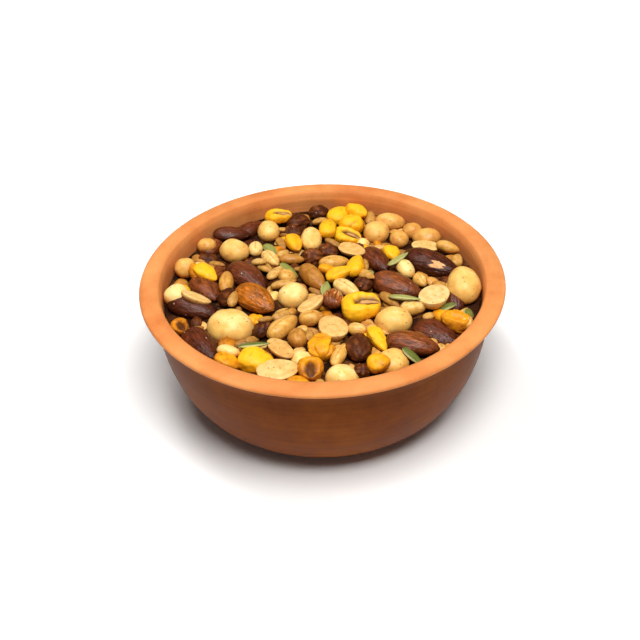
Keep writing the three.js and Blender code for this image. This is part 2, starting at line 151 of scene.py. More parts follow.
def terracotta():
    """Unglazed earthenware: matt, with faint bands 1.1 mm apart from the turning, clouds 18 mm
    across from the fire and grit of 0.7 mm, and a soft sheen where it was burnished."""
    material, tree = new_material("unglazed_terracotta")
    place = add(tree, "TexCoord").outputs["Object"]
    outside = add(tree, "Attribute", attribute_name="outside").outputs["Fac"]
    rings = add(tree, "Mapping", {"Vector": place, "Scale": (25, 25, 900)})
    turned = add(tree, "TexNoise", {"Vector": rings.outputs[0], "Scale": 1.0, "Detail": 4.0})
    cloud = add(tree, "TexNoise", {"Vector": place, "Scale": 55.0, "Detail": 5.0, "Roughness": 0.6})
    grit = add(tree, "TexNoise", {"Vector": place, "Scale": 1400.0, "Detail": 3.0})
    burnished = add(tree, "ValToRGB", {"Fac": cloud.outputs["Fac"]},
                    stops=[(0.3, "c8743c"), (0.5, "d5864a"), (0.7, "e09355")])
    # The dark brown of the outside: partly a rawer clay, partly painted shade.
    raw = add(tree, "ValToRGB", {"Fac": cloud.outputs["Fac"]},
              stops=[(0.3, "682f03"), (0.5, "773a04"), (0.7, "854609")])
    clay = add(tree, "Mix", {"Factor": outside, 6: burnished.outputs[0], 7: raw.outputs[0]},
               data_type="RGBA")
    shade = add(tree, "MapRange", {"Value": turned.outputs["Fac"], 1: 0.3, 2: 0.7, 3: 0.88, 4: 1.1})
    speck = add(tree, "MapRange", {"Value": grit.outputs["Fac"], 1: 0.35, 2: 0.6, 3: 0.97, 4: 1.02})
    both = add(tree, "Math", {0: shade.outputs[0], 1: speck.outputs[0]}, operation="MULTIPLY")
    colour = add(tree, "VectorMath", {0: clay.outputs[2], "Scale": both.outputs[0]}, operation="SCALE")
    height = add(tree, "Math", {0: turned.outputs["Fac"], 1: grit.outputs["Fac"]}, operation="ADD")
    bump = add(tree, "Bump", {"Height": height.outputs[0], "Strength": 0.12, "Distance": 0.0003})
    rough = add(tree, "MapRange", {"Value": cloud.outputs["Fac"], 1: 0.3, 2: 0.7, 3: 0.4, 4: 0.52})
    finish(tree, colour.outputs[0], rough.outputs[0], bump.outputs[0], Specular_IOR_Level=0.07)
    return material


def raw_clay_and_shade(round_lip):
    """How dark the clay is painted: 1 outside, partly rawer clay and partly painted shade, 0 on the
    burnished lip, and HOLLOW_SHADE of painted shade in the hollow.
    round_lip is 0 where the roll of the lip starts, 1 where it ends and more in the hollow."""
    if round_lip < 0:
        return 1
    return max(0, 1 - round_lip / UNDER_LIP_SHADE_END) + HOLLOW_SHADE * max(0, min(1, 2 * round_lip - 1))


def spin_points(shape, points, turns, merge):
    """Spins a row of points round Z into a smooth closed shape."""
    edges = [shape.edges.new(pair) for pair in zip(points, points[1:])]
    bmesh.ops.spin(shape, geom=points + edges, cent=(0, 0, 0), axis=(0, 0, 1), angle=2 * math.pi,
                   steps=turns, use_merge=True)
    bmesh.ops.remove_doubles(shape, verts=shape.verts, dist=merge)
    bmesh.ops.recalc_face_normals(shape, faces=shape.faces)
    for face in shape.faces:
        face.smooth = True


def make_bowl():
    """Spins the bowl's section: foot, side, lip and hollow."""
    clay = bmesh.new()
    outside = clay.verts.layers.float.new("outside")
    section = [Vector((0, 0, 0)), Vector((FOOT_R - FOOT_BEVEL, 0, 0)), Vector((FOOT_R, 0, FOOT_EDGE))]
    above_foot = len(section)
    section += [side(FOOT_R, 0, NECK_R, k / SIDE_STEPS) for k in range(1, SIDE_STEPS + 1)]
    under_lip = len(section)
    for k in range(LIP_STEPS + 1):
        angle = math.pi * (LIP_FROM + LIP_ROLL * k / LIP_STEPS)
        middle = Vector((RIM_R - LIP_W / 2, 0, BOWL_H - LIP_H / 2))
        section.append(middle + Vector((LIP_W / 2 * math.cos(angle), 0, LIP_H / 2 * math.sin(angle))))
    for k in range(SIDE_STEPS, -1, -1):
        section.append(side(FOOT_R - WALL, FLOOR, NECK_R - WALL, k / SIDE_STEPS))
    section.append(Vector((0, 0, FLOOR)))
    points = [clay.verts.new(point) for point in section]
    for k, point in enumerate(points):
        # Painted shade: the outside and the underside of the lip's roll are dark, partly as rawer clay,
        # and the hollow a little.
        point[outside] = raw_clay_and_shade((k - under_lip) / LIP_STEPS)
        if above_foot <= k < under_lip:
            point.co.x += THROWING * math.sin(2 * math.pi * point.co.z / RING_PITCH)
    spin_points(clay, points, BOWL_TURNS, merge=0.001 * MM)
    return clay


mesh_object("terracotta_bowl", make_bowl(), terracotta(), node="bowl")

# ---- how the mix lies ----
# About 250 nuts, seeds and raisins, poured into the bowl and shaken level. Each kind has its own
# form. Those on top have their places listed, and others fill the gaps between them.

# wide and thick are shares of the length and of the width. blunt and sharp shape the ends:
# 0.5 is round, less is squarer and more is pointed. square squares the section, and flat is
# how far a cut half stands out on its upper side.
KINDS = {
    "almond": {"thick": 0.72, "blunt": 0.42, "sharp": 0.66},
    "macadamia": {"wide": 0.92, "thick": 0.84, "blunt": 0.5, "sharp": 0.54},
    "half_nut": {"thick": 0.5, "blunt": 0.45, "sharp": 0.52, "flat": 0.25},
    "peanut": {"wide": 0.58, "thick": 0.85, "blunt": 0.45, "sharp": 0.62},
    "corn": {"wide": 0.8, "thick": 0.7, "blunt": 0.34, "sharp": 0.6, "square": 0.75},
    "raisin": {"wide": 0.75, "thick": 0.8, "blunt": 0.45, "sharp": 0.5},
    "sunflower": {"thick": 0.6, "blunt": 0.45, "sharp": 0.7},
    "pumpkin": {"thick": 0.42, "blunt": 0.5, "sharp": 0.8},
}

# Each piece is x, y, turn, long, wide, lift and tone, in millimetres and degrees: the turn is
# its heading from +X, the lift says how far its top stands above the level of the mix, and
# the tone runs from 0 for the darkest of its kind to 1 for the palest. An eighth value is how
# steeply a piece stands on end.
PLACES = {
    "almond": [
        (-29.5, 10, -48, 21, 12.5, 0.5, 0.3),
        (-25.5, -7, -48, 20, 12, 2, 1.0),
        (-49.5, -9, -22, 20.5, 10.5, 2, 0.1),
        (-45, -32, -58, 22, 10.5, 0.5, 0.15),
        (-45.5, 3, -60, 18, 11, 0, 0.5),
        (-45.5, 34.5, 60, 14, 8.5, 0.5, 0.5),
        (-37.2, 40, 5, 16, 8.5, 1.5, 0.2),
        (-30.5, 34.5, 60, 13, 8.5, -1.5, 0.05),
        (-29.5, 47, 45, 15, 9, 0.5, 0.25),
        (-42, 13.5, 60, 12, 8, -2, 0.5),
        (44, 15, -32, 25, 13, 1.5, 0.0),
        (29, -0.5, -29, 21, 12, 1.5, 0.5),
        (22, 19, -65, 19, 10, 0, 0.3),
        (41.5, -27, -42, 19.5, 12.5, 0, 0.2),
        (32, -36.5, -20, 20, 11, 1.5, 0.55),
        (50, -8, 85, 15, 8, -2, 0.2),
        (4, -8.5, 80, 11, 8, 0.5, 0.6),
    ],
    "macadamia": [
        (-34.5, -21, -20, 18.5, 15, 1.5, 0.7),
        (-35.5, 27.5, -35, 13.5, 11, 2, 0.6),
        (-22, 42, 100, 11, 9.5, 1.5, 0.6),
        (-51.5, 35, 0, 8, 7.4, 2.5, 0.3),
        (-58.5, 16.5, 0, 9, 9, 3, 0.4),
        (-59, -4, 90, 10, 10, 5, 0.9),
        (-11.5, -4, 90, 12, 12, 1.5, 0.8),
        (-4, 35, 90, 15, 9, 1, 0.7),
        (26, -21, 90, 12.5, 14, 1.5, 0.6),
        (57, -4, 90, 17, 13, 5.5, 0.6, 22),
        (23.5, 40, 90, 12.5, 11, 1, 0.5),
        (29.8, 47.5, -8, 13, 8.5, 0.5, 0.4),
        (32.5, 34, 90, 10, 8, 0, 0.3),
        (38.5, 39.5, 0, 8.5, 8, 0.5, 0.2),
        (45, 35, -10, 12, 9.5, 1, 0.3),
        (6, -51.5, 0, 12, 11, 0, 0.8),
        (24, -44, 10, 12.5, 11.5, 0, 0.5),
        (33, 8.5, -60, 9, 7, 0.5, 0.9),
        (-8, -41, 0, 9, 8, 0, 0.8),
    ],
    "half_nut": [
        (42.5, -9, 66, 15, 11.5, 1.5, 1.0),
        (3.5, -26, 100, 14, 11, 0.5, 0.75),
        (-48, -7.5, -5, 12, 7, 1, 0.9),
        (43, 26.5, -10, 12, 7, -1, 0.8),
        (-16.5, -48.5, 8, 15, 9, 0.5, 0.8),
        (-15.5, -37.5, -50, 12.5, 7.5, 0.5, 0.6),
        (12.5, 24.5, -38, 12.5, 7.5, 1, 0.7),
        (-4.5, -12.5, 52, 13, 7.5, 1, 0.8),
    ],
    "peanut": [
        (-15, -24, 48, 15, 8, 0.5, 0.6),
        (-9.5, -30, 90, 10, 7.5, 0, 0.2),
        (-34, -39, -15, 9, 5.5, -0.5, 1.0),
        (5, 17.5, 8, 12.5, 6.5, 1, 0.6),
        (-12, 20.5, 0, 10.5, 5, 0.5, 0.3),
        (-3.5, 6.5, -62, 17, 8, 1, 0.1),
        (5.5, -41, 68, 13, 5, -1, 0.7),
        (9.5, -2.5, -45, 13, 6.5, 1, 0.9),
        (34.5, -13.5, 25, 11.5, 7.5, 0, 0.8),
        (51.5, 23.5, -20, 10, 5.5, 0, 0.6),
        (-27, 30, 90, 9, 6, 0, 1.0),
        (-20.5, 21.5, -62, 13, 6, 0.5, 0.9),
        (-13.5, 7, 0, 7.5, 6.5, 0, 0.6),
        (-37.5, 4.5, 90, 13, 6, 1, 0.4),
        (12.5, -26, -10, 7.5, 5.5, -0.5, 0.7),
        (-4.5, -19.5, 0, 9.5, 7, 0, 0.5),
        (38.5, 4, -70, 8, 5.5, 0, 0.7),
        (54.5, -26, 70, 7, 5, -1, 0.8),
    ],
    "corn": [
        (14.5, -13.5, 5, 15, 13, 2, 1.0),
        (-24, -42.5, -20, 13.5, 11, 0.5, 0.9),
        (-45.5, 8.5, -42, 11.5, 7, 1, 0.9),
        (-54, -3, -60, 8.5, 7, 0.5, 0.9),
        (-57, -24.5, -58, 9.5, 6.5, 0, 0.1),
        (-34.5, -43, -30, 9.5, 7.5, -1.5, 0.4),
        (-5, -48, -90, 10, 9.5, 0, 0.3),
        (-1, -36, 88, 13, 9, 0.5, 0.45),
        (19.7, -33, -68, 12.5, 6, 0.5, 0.9),
        (19, -48, 0, 8.5, 7.5, 0, 0.5),
        (7, 5.5, 8, 11.5, 6, 1, 0.8),
        (3, 10, -5, 9, 5, 0, 0.5),
        (13.5, 11, 88, 15, 7.5, 1, 0.9),
        (28.5, 22, -80, 8.5, 7, 0, 0.9),
        (49.5, -23, 70, 11, 10.5, 1, 0.4),
        (8.5, 55, 58, 13, 8.5, 0.5, 0.9),
        (16, 53, -62, 12, 8.5, 0.5, 1.0),
        (13.5, 46.5, 80, 11.5, 10.5, 1, 0.8),
        (11, 39, -30, 13, 9, 0.5, 0.9),
        (3, 41, 88, 13.5, 7.5, 0, 0.8),
        (-11, 32, -72, 12, 6.5, 0.5, 0.7),
        (-17.8, 52, -15, 12, 8, 1, 0.8),
        (-50, 11, -68, 11, 5.5, -1, 0.3),
    ],
    "raisin": [
        (12.5, -37.5, 88, 14, 9, 1, 0.5),
        (-0.5, 56.5, 0, 9, 8, 0, 0.2),
        (-9.5, 49.5, 30, 10.5, 8.5, 0, 0.3),
        (-11, 45, 40, 10.5, 8.5, -0.5, 0.3),
        (-47, 26, -30, 10, 8, -1, 0.1),
        (-3.5, 23, 0, 9, 8, -0.5, 0.6),
        (3, 27.5, 0, 9, 8, -1, 0.7),
        (-36.5, -5.5, 60, 8.5, 7, -0.5, 0.2),
        (16, -0.5, 0, 8, 6.5, 0, 0.2),
        (-22.5, -24.5, 60, 9, 7, -2, 0.3),
        (13, -50, 0, 6, 5.5, -0.5, 0.5),
    ],
    "sunflower": [
        (-25, 18, -50, 10.5, 4.4, 1, 0.8),
        (-22.5, 15, -52, 10, 4.6, 0.5, 0.5),
        (-18.2, 11.5, 62, 11.5, 5, -0.5, 0.7),
        (-45, 12.5, -38, 8.5, 4.2, 0.5, 0.4),
        (-42, 17.5, -45, 9, 4, 0, 0.4),
        (-15, 2, 5, 10.5, 4.4, 0.5, 0.6),
        (-15, -14.5, 28, 10, 4.4, -0.5, 0.4),
        (-21, -21, 50, 8, 4, 0, 0.4),
        (-34, -8.5, 80, 7.5, 4, 0, 0.4),
        (17, 14, 88, 11, 4, 0.5, 0.4),
        (17, 3, -50, 12, 4.2, 0.5, 0.6),
        (25.5, -9.5, -60, 13, 4.4, 0, 0.3),
        (5.5, 29, -25, 9, 4.5, 0.5, 0.3),
        (0, 47.5, -40, 9.5, 4.6, 0.5, 0.6),
        (21.5, 51, 85, 9.5, 5, 0, 0.4),
        (24.7, 28, 10, 7, 4, 0, 0.8),
        (54.5, 16.5, 70, 8, 5, 0, 0.6),
        (49.5, -4, -50, 7, 4.4, -1, 0.5),
        (39.7, -18, 60, 6.5, 4.2, 0, 0.6),
        (-15.5, 25, 60, 7.5, 4.6, 0.5, 0.7),
        (-16.5, 34.5, -70, 9, 4, 0, 0.3),
        (-5, -29.5, 80, 7.5, 3.6, 0, 0.4),
    ],
    "pumpkin": [
        (-25, -36.5, 8, 12, 5.4, 1, 0.1),
        (31, -12, -27, 13, 5.5, 0.5, 0.7),
        (30.5, 12.5, 48, 12.5, 5, 1, 0.8),
        (-13, 13.5, -50, 11, 4, 0.5, 0.4),
        (-21, 30, -60, 11.5, 4.2, 0.5, 0.5),
        (18, 6, 85, 10, 5, 0, 0.5),
        (1.5, -1.5, 85, 10, 4.6, 0, 0.6),
        (31.5, -44, -30, 10, 4.2, 0, 0.1),
        (54.5, -18.5, 70, 9, 4.2, 0, 0.2),
        (47, -13.5, 10, 9, 4.4, 0, 0.1),
    ],
}

MIX_LEVEL = 48.3  # where the tops of the pieces come to at the wall, in millimetres, as the rest
MIX_CROWN = 0.5  # how much higher they are in the middle
CORE_DEPTH = 4.8  # the core under the pieces lies this far below their tops
OFF_WALL = 0.7  # between the pieces and the bowl's wall
MIX_R = (NECK_R - WALL) / MM - OFF_WALL  # the room that they have up to the neck
FLARE = 0.26  # how much wider the room gets for each millimetre above the neck
DEEPEST_TOP = 3.6  # where everything is this far down, the gap takes another piece
BULKY = 6  # a piece this thick is bedded in the mix, and a slighter one lies on it
PRESSED_IN = 1  # how far a slight piece beds into what carries it
APART = 0.3  # between a bulky piece and those above it
EDGE = 0.55  # pieces may press into each other where they are thinner than this share
ROOTED = 0.6  # how far a bulky piece reaches into the core at least
MOST_RISE = 1.5  # how far a neighbour may lift a piece above its level
MOST_SINK = 1.8  # how far another may press a piece below its level
MOST_LEAN = 0.55  # the steepest slope that a piece lies on
LOLL = 0.12  # how far a bulky piece leans at random
DEEP_KINDS = ["peanut", "corn", "raisin", "macadamia", "peanut"]  # in the gaps, under those on top
DEEP_LONG = (8.4, 12.6)
DEEP_LIFT = (-3.4, -2.2)
DEEP_SPACING = 9.1
DEEP_SHAKE = 0.3 * DEEP_SPACING
DEEP_SINK = 2.5  # how far one of them may be pressed below its level
DEEP_R = MIX_R - 0.8  # they keep a little off the wall
GAP_R = 2.2  # the radius of the smallest gap that takes one

DRAWS = 2**32  # the draws of a linear congruential generator before they repeat
seed = 20  # where it starts, so that every run draws the same numbers


def draw(low, high):
    """The next random number between the two."""
    global seed
    seed = (seed * 1664525 + 1013904223) % DRAWS
    return low + (high - low) * seed / DRAWS


def level(x, y):
    """How high the tops of the pieces stand at a place."""
    return MIX_LEVEL + MIX_CROWN * (1 - (x * x + y * y) / (MIX_R * MIX_R))


REACH = math.ceil(MIX_R) + 2
SPAN = range(-REACH, REACH + 1)
tops = {(i, j): level(i, j) - CORE_DEPTH for i in SPAN for j in SPAN}  # on a 1 mm grid
undersides = {cell: math.inf for cell in tops}


def girth(s, blunt, sharp):
    """The girth of a piece along its length, 1 at its fullest: s runs from -1 to 1."""
    fullest = (blunt - sharp) / (blunt + sharp)
    most = (1 + fullest) ** blunt * (1 - fullest) ** sharp
    return max(0, 1 + s) ** blunt * max(0, 1 - s) ** sharp / most


def footprint(piece):
    """The cells that a piece covers, each with its place and the piece's half thickness there."""
    turn = math.radians(piece["turn"])
    span = max(piece["half_long"], piece["half_wide"])
    cells = []
    for j in range(math.ceil(piece["y"] - span), math.floor(piece["y"] + span) + 1):
        for i in range(math.ceil(piece["x"] - span), math.floor(piece["x"] + span) + 1):
            dx = i - piece["x"]
            dy = j - piece["y"]
            along = (dx * math.cos(turn) + dy * math.sin(turn)) / piece["half_long"]
            across = (dy * math.cos(turn) - dx * math.sin(turn)) / piece["half_wide"]
            if abs(along) >= 1 or (i, j) not in tops:
                continue
            form = KINDS[piece["kind"]]
            within = girth(along, form["blunt"], form["sharp"]) ** 2 - across * across
            if within > 0:
                cells.append(((i, j), dx, dy, piece["half_thick"] * math.sqrt(within)))
    return cells


def slope_under(cells):
    """The slope of the plane that best fits the tops under a piece, eased to one it can lie on."""
    middle_x = sum(dx for _, dx, _, _ in cells) / len(cells)
    middle_y = sum(dy for _, _, dy, _ in cells) / len(cells)
    xx = sum((dx - middle_x) ** 2 for _, dx, _, _ in cells)
    yy = sum((dy - middle_y) ** 2 for _, _, dy, _ in cells)
    xy = sum((dx - middle_x) * (dy - middle_y) for _, dx, dy, _ in cells)
    xh = sum((dx - middle_x) * tops[at] for at, dx, _, _ in cells)
    yh = sum((dy - middle_y) * tops[at] for at, _, dy, _ in cells)
    size = xx * yy - xy * xy
    slope = [(xh * yy - yh * xy) / size, (yh * xx - xh * xy) / size]
    steep = math.hypot(*slope)
    return [s * MOST_LEAN / steep for s in slope] if steep > MOST_LEAN else slope


def piece_at(kind, x, y, turn, long, wide, lift, tone, pitch=0, roll=0, room=MIX_R):
    """A piece of the mix. One that would cross the wall lies further in. A bulky one reaches into
    the core at least."""
    thick = wide * KINDS[kind]["thick"]
    tip = math.radians(pitch)
    rolled = math.radians(roll)
    upright = math.hypot(wide * math.sin(rolled), thick * math.cos(rolled)) / 2
    half_long = math.hypot(long / 2 * math.cos(tip), upright * math.sin(tip))
    half_wide = math.hypot(wide * math.cos(rolled), thick * math.sin(rolled)) / 2
    half_thick = math.hypot(long / 2 * math.sin(tip), upright * math.cos(tip))
    lift = min(lift, 2 * half_thick - CORE_DEPTH - ROOTED) if 2 * half_thick >= BULKY else lift
    above_neck = max(0, level(x, y) + lift - half_thick - NECK_Z / MM)
    bearing = math.atan2(y, x) - math.radians(turn)
    spread = math.hypot(half_long * math.cos(bearing), half_wide * math.sin(bearing),
                        FLARE * half_thick if above_neck else 0)
    inwards = min(1, (room + FLARE * above_neck - spread) / math.hypot(x, y))
    return {"kind": kind, "x": x * inwards, "y": y * inwards, "turn": turn, "long": long, "wide": wide,
            "thick": thick, "lift": lift, "tone": tone, "pitch": pitch, "roll": roll,
            "half_long": half_long, "half_wide": half_wide, "half_thick": half_thick}


def mark(piece, cells):
    """Notes the space that a piece takes."""
    lean_x, lean_y = piece["lean"]
    for at, dx, dy, half in cells:
        middle = piece["z"] + lean_x * dx + lean_y * dy
        tops[at] = max(tops[at], middle + half)
        if half > EDGE * piece["half_thick"]:
            undersides[at] = min(undersides[at], middle - half)


def bed(piece, sink, by_hand):
    """Beds a bulky piece at its level, or lower where it goes under one that is there. It says
    whether there was room for it within sink of its level. One that is listed stays anyway."""
    cells = footprint(piece)
    piece["lean"] = [draw(-LOLL, LOLL), draw(-LOLL, LOLL)]
    lean_x, lean_y = piece["lean"]
    seat = level(piece["x"], piece["y"]) + piece["lift"] - piece["half_thick"]
    roof = min(undersides[at] - (lean_x * dx + lean_y * dy + half) for at, dx, dy, half in cells
               if half > EDGE * piece["half_thick"])
    fits = roof - APART > seat - sink
    piece["z"] = max(min(seat, roof - APART), seat - sink)
    if fits or by_hand:
        mark(piece, cells)
    return fits


def drop(piece):
    """Lays a slight piece on what is under it, leaning as that does."""
    cells = footprint(piece)
    piece["lean"] = slope_under(cells)
    lean_x, lean_y = piece["lean"]
    rest = max(tops[at] - (lean_x * dx + lean_y * dy - half) for at, dx, dy, half in cells)
    seat = level(piece["x"], piece["y"]) + piece["lift"] - piece["half_thick"]
    piece["z"] = min(rest - PRESSED_IN, seat + MOST_RISE)
    mark(piece, cells)


chosen = []
for kind, rows in PLACES.items():
    chosen += [piece_at(kind, *row) | {"row": k} for k, row in enumerate(rows)]
bulky = [piece for piece in chosen if piece["half_thick"] * 2 >= BULKY]
bulky.sort(key=lambda piece: (-piece["lift"], -piece["wide"]))
for piece in bulky:
    bed(piece, MOST_SINK, by_hand=True)

deep = []
across = math.floor(MIX_R / DEEP_SPACING)
for j in range(-across, across + 1):
    for i in range(-across, across + 1):
        x = i * DEEP_SPACING + draw(-DEEP_SHAKE, DEEP_SHAKE)
        y = j * DEEP_SPACING + draw(-DEEP_SHAKE, DEEP_SHAKE)
        kind = DEEP_KINDS[math.floor(draw(0, len(DEEP_KINDS)))]
        long = draw(*DEEP_LONG)
        turn = draw(0, 180)
        lift = draw(*DEEP_LIFT)
        if math.hypot(x, y) > DEEP_R - GAP_R:
            continue
        gap = {"kind": kind, "x": x, "y": y, "turn": turn, "half_long": GAP_R, "half_wide": GAP_R,
               "half_thick": 0}
        if any(tops[at] > level(x, y) - DEEPEST_TOP for at, _, _, _ in footprint(gap)):
            continue
        tone = (7 * i + 5 * j) % 10 / 10  # unlike that of the neighbours
        piece = piece_at(kind, x, y, turn, long, long * KINDS[kind]["wide"], lift, tone, room=DEEP_R)
        if bed(piece, DEEP_SINK, by_hand=False):
            deep.append(piece)

slight = [piece for piece in chosen if piece["half_thick"] * 2 < BULKY]
slight.sort(key=lambda piece: (piece["lift"], -piece["wide"]))
for piece in slight:
    drop(piece)

# Then smaller pieces and bits have worked their way into the gaps that are left, the larger
# ones first. Each lies partly in what is under it, and its top stays below the pieces on top.
# A bit has a kind and how wide it is, as a share of its length.
BITS = [("peanut", 0.62), ("sunflower", 0.5), ("corn", 0.74), ("peanut", 0.7), ("raisin", 0.8),
        ("half_nut", 0.75), ("macadamia", 0.84)]
BIT_SIZES = [10, 8.5, 7, 6]
BIT_CLEAR = (3.3, 4.5)  # how far below the level of the mix the top of a bit stays
BIT_LEAN = 0.3  # its steepest slope
BIT_ROLL = 25  # and how far it is rolled over at most, in degrees
BIT_STEP = 0.4  # between the places that are tried for it, as a share of its length
BIT_SHAKE = 0.5  # how far it is off such a place, in steps
# Bits get darker tones than the pieces on top, partly as more toasted bits and partly as painted shade in
# the gaps.
BIT_PALEST = 0.8
BIT_OFF_WALL = 1 / 3  # how far its middle keeps off the wall, as a share of its length
BIT_SEEN = 0.62  # the share of a bit that must show from above


def tuck(piece):
    """Puts a bit into a gap, below the level of the mix. It says whether the gap takes it."""
    cells = footprint(piece)
    if not cells:
        return False
    piece["lean"] = [draw(-BIT_LEAN, BIT_LEAN), draw(-BIT_LEAN, BIT_LEAN)]
    piece["z"] = level(piece["x"], piece["y"]) - draw(*BIT_CLEAR) - piece["half_thick"]
    lean_x, lean_y = piece["lean"]
    seen = sum(piece["z"] + lean_x * dx + lean_y * dy + half > tops[at] for at, dx, dy, half in cells)
    if seen < BIT_SEEN * len(cells):
        return False
    mark(piece, cells)
    return True


bits = []
for long in BIT_SIZES:
    steps = math.ceil(MIX_R / (BIT_STEP * long))
    for j in range(-steps, steps + 1):
        for i in range(-steps, steps + 1):
            x = BIT_STEP * long * (i + draw(-BIT_SHAKE, BIT_SHAKE))
            y = BIT_STEP * long * (j + draw(-BIT_SHAKE, BIT_SHAKE))
            kind, wide = BITS[math.floor(draw(0, len(BITS)))]
            turn = draw(0, 360)
            tone = draw(0, BIT_PALEST)
            roll = draw(-BIT_ROLL, BIT_ROLL)
            if math.hypot(x, y) > DEEP_R - long * BIT_OFF_WALL:
                continue
            piece = piece_at(kind, x, y, turn, long, long * wide, -BIT_CLEAR[0], tone, roll=roll,
                             room=DEEP_R)
            if tuck(piece):
                bits.append(piece)
pieces = bulky + deep + slight + bits

# ---- the almonds ----
# Whole almonds in their skins, roasted and lightly salted. The skin is a brown paper with
# wrinkles that run from the blunt end to the tip, and some of it has worn off.

WRINKLE = 0.035  # how far the skin rises and falls, as shares of the almond's girth
DENT = 0.03
PAPER = 0.02  # how much less there is where the skin is gone
ALONG = 0.8  # how fast the wrinkles change along an almond
ROUND = 3.4  # and round it
CREASE = 2.6  # how steep they are
WORN_ALMOND = 10  # this one has lost a strip of its skin, at s and over of WORN_AT
WORN_AT = (0.3, -0.6)
WORN_LONG = 0.27
WORN_WIDE = 0.26
STRIPED_ALMOND = 16  # and the skin of this one has shrunk into stripes
STRIPES = 2.2  # which are so much deeper than wrinkles
PAINTED_TOP_LIGHT = 0.32  # painted light: how much paler the top of a piece is painted than its sides, as a tone
PAINTED_SIDE_SHADE = 0.18  # painted shade: how much darker its sides are painted than the tone it is given
ELSEWHERE = Vector((37, 11, 23))  # in the noise, from one piece of a kind to the next


def placed(piece):
    """The matrix that tips, turns and sets down a piece made along X in millimetres."""
    tipped = Matrix.Rotation(-math.radians(piece["pitch"]), 4, "Y")
    tipped @= Matrix.Rotation(math.radians(piece["roll"]), 4, "X")
    turn = math.radians(piece["turn"])
    above = Vector((-piece["lean"][0], -piece["lean"][1], 1)).normalized()
    beside = above.cross(Vector((math.cos(turn), math.sin(turn), 0))).normalized()
    turned = Matrix((beside.cross(above), beside, above)).transposed().to_4x4()
    turned.translation = (piece["x"], piece["y"], piece["z"])
    return Matrix.Scale(MM, 4) @ turned @ tipped


def ball(sides, rings):
    """The mesh of a ball of radius 1 with its poles on Z."""
    shape = bmesh.new()
    bmesh.ops.create_uvsphere(shape, u_segments=sides, v_segments=rings, radius=1)
    mesh = bpy.data.meshes.new("ball")
    shape.to_mesh(mesh)
    shape.free()
    return mesh


def joined_pieces(kind, skin, sides, rings):
    """One mesh of all the pieces of a kind. Each is a ball drawn out to the kind's form, with half
    the sides and rings if its place isn't listed. skin says how far its surface swells and how
    strong its mark is at a place, given the piece, its shift in the noise, and the place along,
    across and up it, each from -1 to 1. grain is the place in the noise, in millimetres."""
    fine = ball(sides, rings)
    coarse = ball(sides // 2, rings // 2)
    whole = bmesh.new()
    grain = whole.verts.layers.float_vector.new("grain")
    tone = whole.verts.layers.float.new("tone")
    marked = whole.verts.layers.float.new("mark")
    form = KINDS[kind]
    flat = form.get("flat", 1)
    square = form.get("square", 1)
    for count, piece in enumerate(each for each in pieces if each["kind"] == kind):
        shift = ELSEWHERE * (count + 1)
        place = placed(piece)
        raw = fine if "row" in piece else coarse
        whole.from_mesh(raw)
        whole.verts.ensure_lookup_table()
        for vert in whole.verts[-len(raw.vertices) :]:
            s = max(-1, min(1, vert.co.z))
            around = math.atan2(vert.co.x, vert.co.y)
            up = math.cos(around)
            over = math.sin(around)
            swell, mark_here = skin(piece, shift, s, over, up)
            full = girth(s, form["blunt"], form["sharp"]) * swell
            y = piece["wide"] / 2 * full * math.copysign(abs(over) ** square, over)
            z = piece["thick"] / 2 * full * math.copysign(abs(up) ** square, up)
            z *= flat if up > 0 else 2 - flat
            local = Vector((piece["long"] / 2 * s, y, z))
            vert[grain] = local + shift
            # Painted light and shade: the tone is paler towards the piece's top and darker towards its
            # underside.
            vert[tone] = piece["tone"] + PAINTED_TOP_LIGHT * 2 * z / piece["thick"] - PAINTED_SIDE_SHADE
            vert[marked] = mark_here
            vert.co = place @ local
    bpy.data.meshes.remove(fine)
    bpy.data.meshes.remove(coarse)
    for face in whole.faces:
        face.smooth = True
    return whole


def kind_object(name, kind, skin, material, sides, rings):
    """Makes one object of all the pieces of a kind."""
    shape = joined_pieces(kind, skin, sides, rings)
    mesh_object(name, shape, material, node="trail_mix")


def skin_material(name):
    """A material for the pieces of a kind, its tree, and the grain, tone and mark that it reads."""
    material, tree = new_material(name)
    grain = add(tree, "Attribute", attribute_name="grain").outputs["Vector"]
    tone = add(tree, "Attribute", attribute_name="tone").outputs["Fac"]
    marked = add(tree, "Attribute", attribute_name="mark").outputs["Fac"]
    return material, tree, grain, tone, marked


def rise(value, low, high):
    """0 below low, 1 above high and a smooth rise between."""
    share = max(0, min(1, (value - low) / (high - low)))
    return share * share * (3 - 2 * share)


def almond_skin(piece, shift, s, over, up):
    """Long wrinkles that die out at the tips. The mark goes up to 1 on them and to 3 where the
    skin is gone."""
    at = shift + Vector((s * ALONG, over * ROUND, up * ROUND))
    coarse = 1 - CREASE * abs(noise.noise(at))
    fine = 1 - CREASE * abs(noise.noise(at * 2.4))
    dents = noise.noise(shift + Vector((s * 1.5, over, up)))
    wrinkle = (0.55 * coarse + 0.45 * fine) * (1 - s * s) ** 0.7
    if piece.get("row") == STRIPED_ALMOND:
        wrinkle *= STRIPES
    bare = 0
    if piece.get("row") == WORN_ALMOND and up > 0:
        off = math.hypot((s - WORN_AT[0]) / WORN_LONG, (over - WORN_AT[1]) / WORN_WIDE)
        ragged = 0.9 * noise.noise(at * 1.5)
        bare = 1 - rise(off + ragged, 0.75, 0.9)
    return 1 + WRINKLE * wrinkle + DENT * dents - PAPER * bare, wrinkle + 2 * bare


